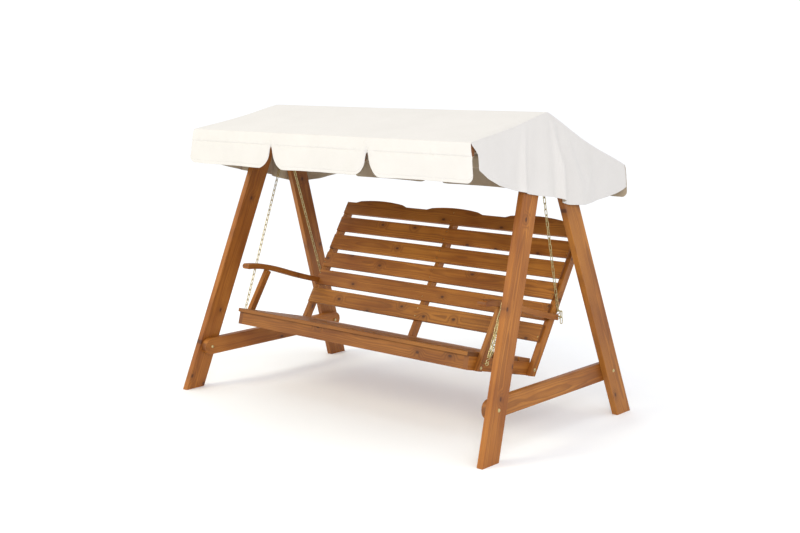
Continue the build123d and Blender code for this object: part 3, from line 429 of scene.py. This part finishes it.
# folds of a side flap: place at the top, drift to the hem, width at the top and hem, depth
FLAP_FOLDS = [
    (-0.215, -0.040, 0.012, 0.022, 0.026), (-0.185, -0.036, 0.010, 0.016, -0.012),
    (-0.060, 0.000, 0.030, 0.070, 0.026), (0.006, 0.012, 0.014, 0.026, 0.046),
    (0.044, 0.046, 0.012, 0.030, -0.020), (0.090, 0.120, 0.020, 0.050, 0.020),
    (0.300, 0.000, 0.050, 0.050, 0.014), (0.440, 0.010, 0.040, 0.040, 0.005),
]
# hem of a side flap: place along Y, height
FLAP_HEM = [
    (-0.590, 1.345), (-0.560, 1.326), (-0.520, 1.298), (-0.444, 1.262), (-0.360, 1.240),
    (-0.279, 1.222), (-0.200, 1.204), (-0.129, 1.192), (-0.060, 1.184), (-0.004, 1.172),
    (0.051, 1.148), (0.126, 1.128), (0.241, 1.121), (0.350, 1.128), (0.466, 1.142),
    (0.560, 1.152), (0.626, 1.166), (0.666, 1.180),
]
# front edge of a side flap: share of the way down, distance behind the roof corner
FLAP_FRONT = [(0.0, 0.0), (0.35, 0.045), (1.0, 0.048)]
FLAP_FRONT_LONG = 0.16          # the slanting edge's drop
FLAP_FRONT_BACK = 0.20          # how far back along the flap the slant is felt


def wave(value, *terms):
    """Sum of sines: each term is (cycles per metre, phase, share)."""
    return sum(share * math.sin(2 * math.pi * cycles * value + phase) for cycles, phase, share in terms)


def bell(value, middle, width):
    """1 at the middle, falling away smoothly over the width."""
    return math.exp(-((value - middle) / width) ** 2)


def past(across, start):
    """0 up to a share of the cover's half length, then rising to 1 at its end."""
    return max(0.0, (abs(across) - start) / (1 - start))


def roof_share(y):
    """0 on the ridge and 1 on the edge of either slope."""
    edge = FRONT_Y + EDGE_IN if y < RIDGE_Y else BACK_Y - EDGE_IN
    return (y - RIDGE_Y) / (edge - RIDGE_Y)


def roof_height(y):
    """Roof surface height under tight cloth."""
    edge_z = FRONT_EDGE_Z if y < RIDGE_Y else BACK_EDGE_Z
    return RIDGE_Z - roof_share(y) * (RIDGE_Z - edge_z)


def roof_point(across, y):
    """Roof cloth: tight over the ridge, the rafters and the eaves boards, slack between."""
    side = 1 - across ** 2
    x = across * half_x(roof_height(y))
    share = roof_share(y)
    sag = SLOPE_SAG * math.sin(math.pi * share) * side
    lines = wave(x, (1.7, 0.6, 1.0), (3.9, 2.1, 0.45))
    crease = lines * math.sin(math.pi * min(share * 1.15, 1)) * ROOF_CREASE
    ridge_sag = RIDGE_SAG * side * (1 - share) ** 3
    # past the rafters, the slopes' ends hang a little
    slack = math.sin(math.pi * share) ** 2 * (FRONT_SLACK if y < RIDGE_Y else BACK_SLACK) + END_DROP
    end = slack * past(across, SLACK_FROM) ** 2
    return Vector((x, y, roof_height(y) - sag - ridge_sag + crease * side - INSET - end))


def valance_drop(across, t, hem_z, edge_y, edge_z):
    """Place across, height and depth below the roof edge of a valance's point."""
    top = roof_point(across, edge_y).z
    hem = hem_height(across * half_x(edge_z), across, hem_z, edge_z)
    z = top + (hem - top) * t
    return across * half_x(z), z, top


def front_point(across, t):
    """Front valance: t is 0 at the roof edge and 1 at the hem."""
    x, z, top = valance_drop(across, t, FRONT_HEM_Z, FRONT_Y + EDGE_IN, FRONT_EDGE_Z)
    hang = top - z
    sewn = bell(hang, SEWN_DROP, SEWN_WIDE)
    hemmed = bell((1 - t) * (top - FRONT_HEM_Z), HEM_BAND, 0.0028)
    ripple = wave(x, (1.6, 0.4, 1.0), (3.1, 1.9, 0.7), (6.3, 0.2, 0.45), (11.0, 1.0, 0.22))
    ripple *= FRONT_RIPPLE * t ** RIPPLE_GROWTH
    pucker = wave(x, (13.0, 0.0, 1.0), (21.0, 1.0, 0.6)) * PUCKER * bell(hang, SEWN_DROP, 0.02)
    ripple += pucker + FRONT_SEAM * sewn + FRONT_HEM_DENT * hemmed
    panel = math.cos(math.pi * (abs(x) if abs(x) > NOTCH_X else 0.0))
    belly = -FRONT_BELLY * math.sin(math.pi * t) * panel
    flare = -NOTCH_FLARE * bell(abs(abs(x) - NOTCH_X), 0.075, 0.05) * t ** 2
    corner = past(across, FLARE_FROM)
    y = FRONT_Y + EDGE_IN * (1 - t) ** 6 + ripple + belly + flare + 0.004 * corner * t
    out = (LEFT_CORNER_OUT if across < 0 else RIGHT_CORNER_OUT) * corner ** 2 * t ** 0.8
    return Vector((x + math.copysign(out, x), y, z))


def back_point(across, t):
    """Back valance: t is 0 at the roof edge and 1 at the hem."""
    x, z, top = valance_drop(across, t, BACK_HEM_Z, BACK_Y - EDGE_IN, BACK_EDGE_Z)
    ripple = wave(x, (1.4, 1.3, 1.0), (2.7, 0.3, 0.7), (5.9, 1.2, 0.4))
    ripple = ripple * BACK_RIPPLE * t ** RIPPLE_GROWTH - BACK_SEAM * bell(top - z, SEWN_DROP, SEWN_WIDE)
    out = BACK_CORNER_OUT * past(across, FLARE_FROM) ** 2 * t
    return Vector((x + math.copysign(out, x), BACK_Y - EDGE_IN * (1 - t) ** 6 + ripple, z))


def flap_point(side, y, t):
    """Side flap: t is 0 at the roof edge and 1 at the hem. Soft folds fall from the ridge's end."""
    top = roof_point(side, y)
    # the front edge slants back from the corner of the roof, under the end of the board
    slant = max(0.0, 1 - (y - FRONT_Y - EDGE_IN) / FLAP_FRONT_BACK)
    hem = along_line(FLAP_HEM, y + FLAP_FRONT[-1][1] * slant)
    z = top.z + (hem - top.z) * t
    hang = t * (top.z - hem)
    grown = min(1.0, hang / FOLD_GROWTH)
    y += along_line(FLAP_FRONT, min(hang / FLAP_FRONT_LONG, 1.0)) * slant
    # the main folds run down from the ridge and widen; lesser ones fall beside them
    fold = 0.0
    for start, drift, narrow, wide, depth in FLAP_FOLDS:
        fold += depth * bell(y, start + drift * grown, narrow + (wide - narrow) * grown)
    ripple = wave(y, (1.9, 0.5, 1.0), (4.3, 1.1, 0.5), (8.1, 0.3, 0.25)) * FLAP_RIPPLE
    away = min(1.0, abs(y - (FRONT_Y + 0.05)) / 0.12) * min(1.0, abs(BACK_Y - 0.03 - y) / 0.12)
    hemmed = FLAP_HEM_DENT * bell((1 - t) * (top.z - hem), HEM_BAND, 0.003)
    out = (fold + ripple * away) * grown ** 1.15 + FLAP_OUT * min(1.0, (hang / 0.035) ** 2) - hemmed
    return Vector((side * (half_x(z) - FLAP_IN + max(out, FLAP_IN_MOST)), y, z))


def spread(low, high, spacing, extra=()):
    """Ordered values from low to high, no further apart than the spacing, with extra ones added."""
    count = max(2, int(math.ceil((high - low) / spacing)) + 1)
    values = set(round(float(v), 5) for v in np.linspace(low, high, count))
    values |= set(round(float(v), 5) for v in extra if low <= v <= high)
    ordered = sorted(values)
    kept = [ordered[0]]
    for value in ordered[1:]:
        if value - kept[-1] > 0.0012:
            kept.append(value)
    kept[-1] = ordered[-1]
    return kept


def quads(mesh, rows, flip=False):
    """Faces between rows of vertices."""
    for a, b in zip(rows, rows[1:]):
        for i in range(len(a) - 1):
            corners = (a[i], a[i + 1], b[i + 1], b[i])
            mesh.faces.new(corners[::-1] if flip else corners)


def cloth_object(name, mesh, materials):
    """The mesh as a smooth object with the cloth's thickness, and its area before that."""
    data = bpy.data.meshes.new(name)
    mesh.to_mesh(data)
    mesh.free()
    for material in materials:
        data.materials.append(material)
    for face in data.polygons:
        face.use_smooth = True
    made = bpy.data.objects.new(name, data)
    scene.collection.objects.link(made)
    solid = made.modifiers.new("thickness", "SOLIDIFY")
    solid.thickness = THICK
    solid.offset = -1.0
    return made, solid, sum(face.area for face in data.polygons)


# shares of a valance's or flap's drop, closer together at the sewn line and the hem
DROP_STEPS = [0.02, 0.05, 0.1, 0.16, 0.22, 0.27, 0.31, 0.33, 0.345, 0.36, 0.38, 0.42, 0.48, 0.54,
              0.6, 0.66, 0.72, 0.78, 0.83, 0.87, 0.895, 0.91, 0.922, 0.935, 0.95, 0.97, 1.0]


MESH_X = 0.015                  # spacing of the sheet's mesh, along and across the ridge
MESH_Y = 0.014


def build_cover():
    """The whole cover as one sheet: two slopes, two valances and two side flaps."""
    near_notch = [side * NOTCH_X + way * d for side in (-1, 1) for way in (-1, 1) for d in NOTCH_STEPS]
    edge = half_x(FRONT_EDGE_Z)
    near_end = [side * (edge - d) for side in (-1, 1) for d in END_STEPS]
    xs = [x / edge for x in spread(-edge, edge, MESH_X, near_notch + near_end)]
    ys_front = spread(FRONT_Y + EDGE_IN, RIDGE_Y, MESH_Y)
    ys_back = spread(RIDGE_Y, BACK_Y - EDGE_IN, MESH_Y)
    ys = ys_front + ys_back[1:]
    mesh = bmesh.new()
    roof = [[mesh.verts.new(roof_point(x, y)) for x in xs] for y in ys]
    quads(mesh, roof)
    front = [[mesh.verts.new(front_point(x, t)) for x in xs] for t in DROP_STEPS]
    quads(mesh, [roof[0]] + front, flip=True)
    back = [[mesh.verts.new(back_point(x, t)) for x in xs] for t in DROP_STEPS]
    quads(mesh, [roof[-1]] + back)
    for side, column in ((-1, 0), (1, -1)):
        top = [row[column] for row in roof]
        flap = [[mesh.verts.new(flap_point(side, y, t)) for y in ys] for t in DROP_STEPS]
        quads(mesh, [top] + flap, flip=side > 0)
    sheet, solid, area = cloth_object("canopy_sheet", mesh, (CANVAS, CANVAS_INSIDE_SHADED))
    # the inner face takes the inside canvas, whose darkness is partly painted shade
    solid.material_offset = 1
    solid.material_offset_rim = 0
    smooth = sheet.modifiers.new("smooth", "SUBSURF")
    smooth.levels = 1
    smooth.render_levels = 1
    return sheet, area


cover, cover_area = build_cover()
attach(cover, "frame")
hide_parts("canopy_cover")


def build_sleeve(name, board, rafter, outward):
    """Canvas sleeve on the inner side of an eaves board, open where the rafters meet the board."""
    low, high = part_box(board)
    rafter_low, rafter_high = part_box(rafter)
    if outward < 0:
        board_y, cover_y, edge_z = high.y, FRONT_Y, FRONT_EDGE_Z
    else:
        board_y, cover_y, edge_z = low.y, BACK_Y, BACK_EDGE_Z
    inner_y = board_y - outward * SLEEVE_GAP
    valance_y = cover_y - outward * (THICK + SLEEVE_SEAM)
    slope = (RIDGE_Z - edge_z) / abs(cover_y - RIDGE_Y)
    top = high.z + slope * (high.y - low.y) * 0.9
    bottom = low.z - SLEEVE_GAP
    # profile: down the board's inner face, round under it, and up to the line of stitches
    profile = [(inner_y, top), (inner_y, (top * 2 + bottom) / 3), (inner_y, (top + bottom * 2) / 3),
               (inner_y, bottom + 0.006), (inner_y + outward * 0.004, bottom),
               ((inner_y + valance_y) / 2, bottom - 0.002), (valance_y, bottom - 0.001)]
    board_end = high.x - SLEEVE_AT_END
    near, far = rafter_low.x - SLEEVE_AT_RAFTER, rafter_high.x + SLEEVE_AT_RAFTER
    mesh = bmesh.new()
    for start, end in ((-board_end, -far), (-near, near), (far, board_end)):
        rows = []
        for x in spread(start, end, 0.02):
            slack = wave(x, (2.3, 0.7, 1.0), (5.7, 1.9, 0.6), (11.0, 0.4, 0.3)) * 0.0012 + 0.0012
            rows.append([mesh.verts.new((x, y - outward * slack, z)) for y, z in profile])
        quads(mesh, rows, flip=outward < 0)
    # the sleeves take the inside canvas, whose darkness is partly painted shade
    sleeve, _, area = cloth_object(name, mesh, (CANVAS_INSIDE_SHADED,))
    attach(sleeve, "frame")


build_sleeve("front_sleeve", "front_roof_board", "right_front_rafter", -1)
build_sleeve("back_sleeve", "back_roof_board", "right_rear_rafter", 1)

# ---------------------------------------------------------------- floor, light and camera
FLOOR_HALF = 60
LOOK_AT = (0, 0, 0.8)           # the lights face this place
SKY_STRENGTH = 1.09
LENS = 54.57                    # this and the next three give the photo's view
CAMERA_AT = (4.2419, -4.8668, 1.7834)
CAMERA_TURN = math.radians(41.185)
CAMERA_DOWN = math.radians(9.235)
corners = [(x * FLOOR_HALF, y * FLOOR_HALF, 0) for x, y in ((-1, -1), (1, -1), (1, 1), (-1, 1))]
floor_mesh = bpy.data.meshes.new("floor")
floor_mesh.from_pydata(corners, [], [(0, 1, 2, 3)])
floor = bpy.data.objects.new("floor", floor_mesh)
scene.collection.objects.link(floor)
ground = Graph("floor_white")
ground_cloud = ground.noise(ground.coords(), 3.0, 2.0)
ground.link(ground.ramp(ground_cloud, [(0.3, (0.925, 0.945, 0.975)), (0.7, (0.935, 0.955, 0.98))]),
            ground.shader.inputs["Base Color"])
ground.shader.inputs["Roughness"].default_value = 0.75
ground.shader.inputs["Specular IOR Level"].default_value = 0.1
floor_mesh.materials.append(ground.material)

world = bpy.data.worlds.new("studio")
scene.world = world
world.use_nodes = True
background = world.node_tree.nodes["Background"]
background.inputs[0].default_value = (1.0, 1.0, 1.0, 1.0)
background.inputs[1].default_value = SKY_STRENGTH
scene.view_settings.view_transform = "Standard"


def area_light(name, place, size_m, power, colour):
    """Square soft light that faces the swing."""
    data = bpy.data.lights.new(name, "AREA")
    data.shape = "SQUARE"
    data.size = size_m
    data.energy = power
    data.color = colour
    lamp = bpy.data.objects.new(name, data)
    scene.collection.objects.link(lamp)
    lamp.location = place
    lamp.rotation_mode = "QUATERNION"
    lamp.rotation_quaternion = (Vector(LOOK_AT) - Vector(place)).to_track_quat("-Z", "Y")


area_light("key", (-3.0, -6.0, 5.0), 2.5, 190, (1.0, 0.94, 0.66))
area_light("fill", (5.5, -6.0, 3.6), 2.2, 225, (0.99, 0.97, 0.95))

camera_data = bpy.data.cameras.new("camera")
camera = bpy.data.objects.new("camera", camera_data)
scene.collection.objects.link(camera)
scene.camera = camera
camera_data.sensor_width = 36.0
camera_data.lens = LENS
camera_data.clip_end = 200
camera.location = CAMERA_AT
camera.rotation_euler = Euler((math.pi / 2 - CAMERA_DOWN, 0, CAMERA_TURN), "XYZ")
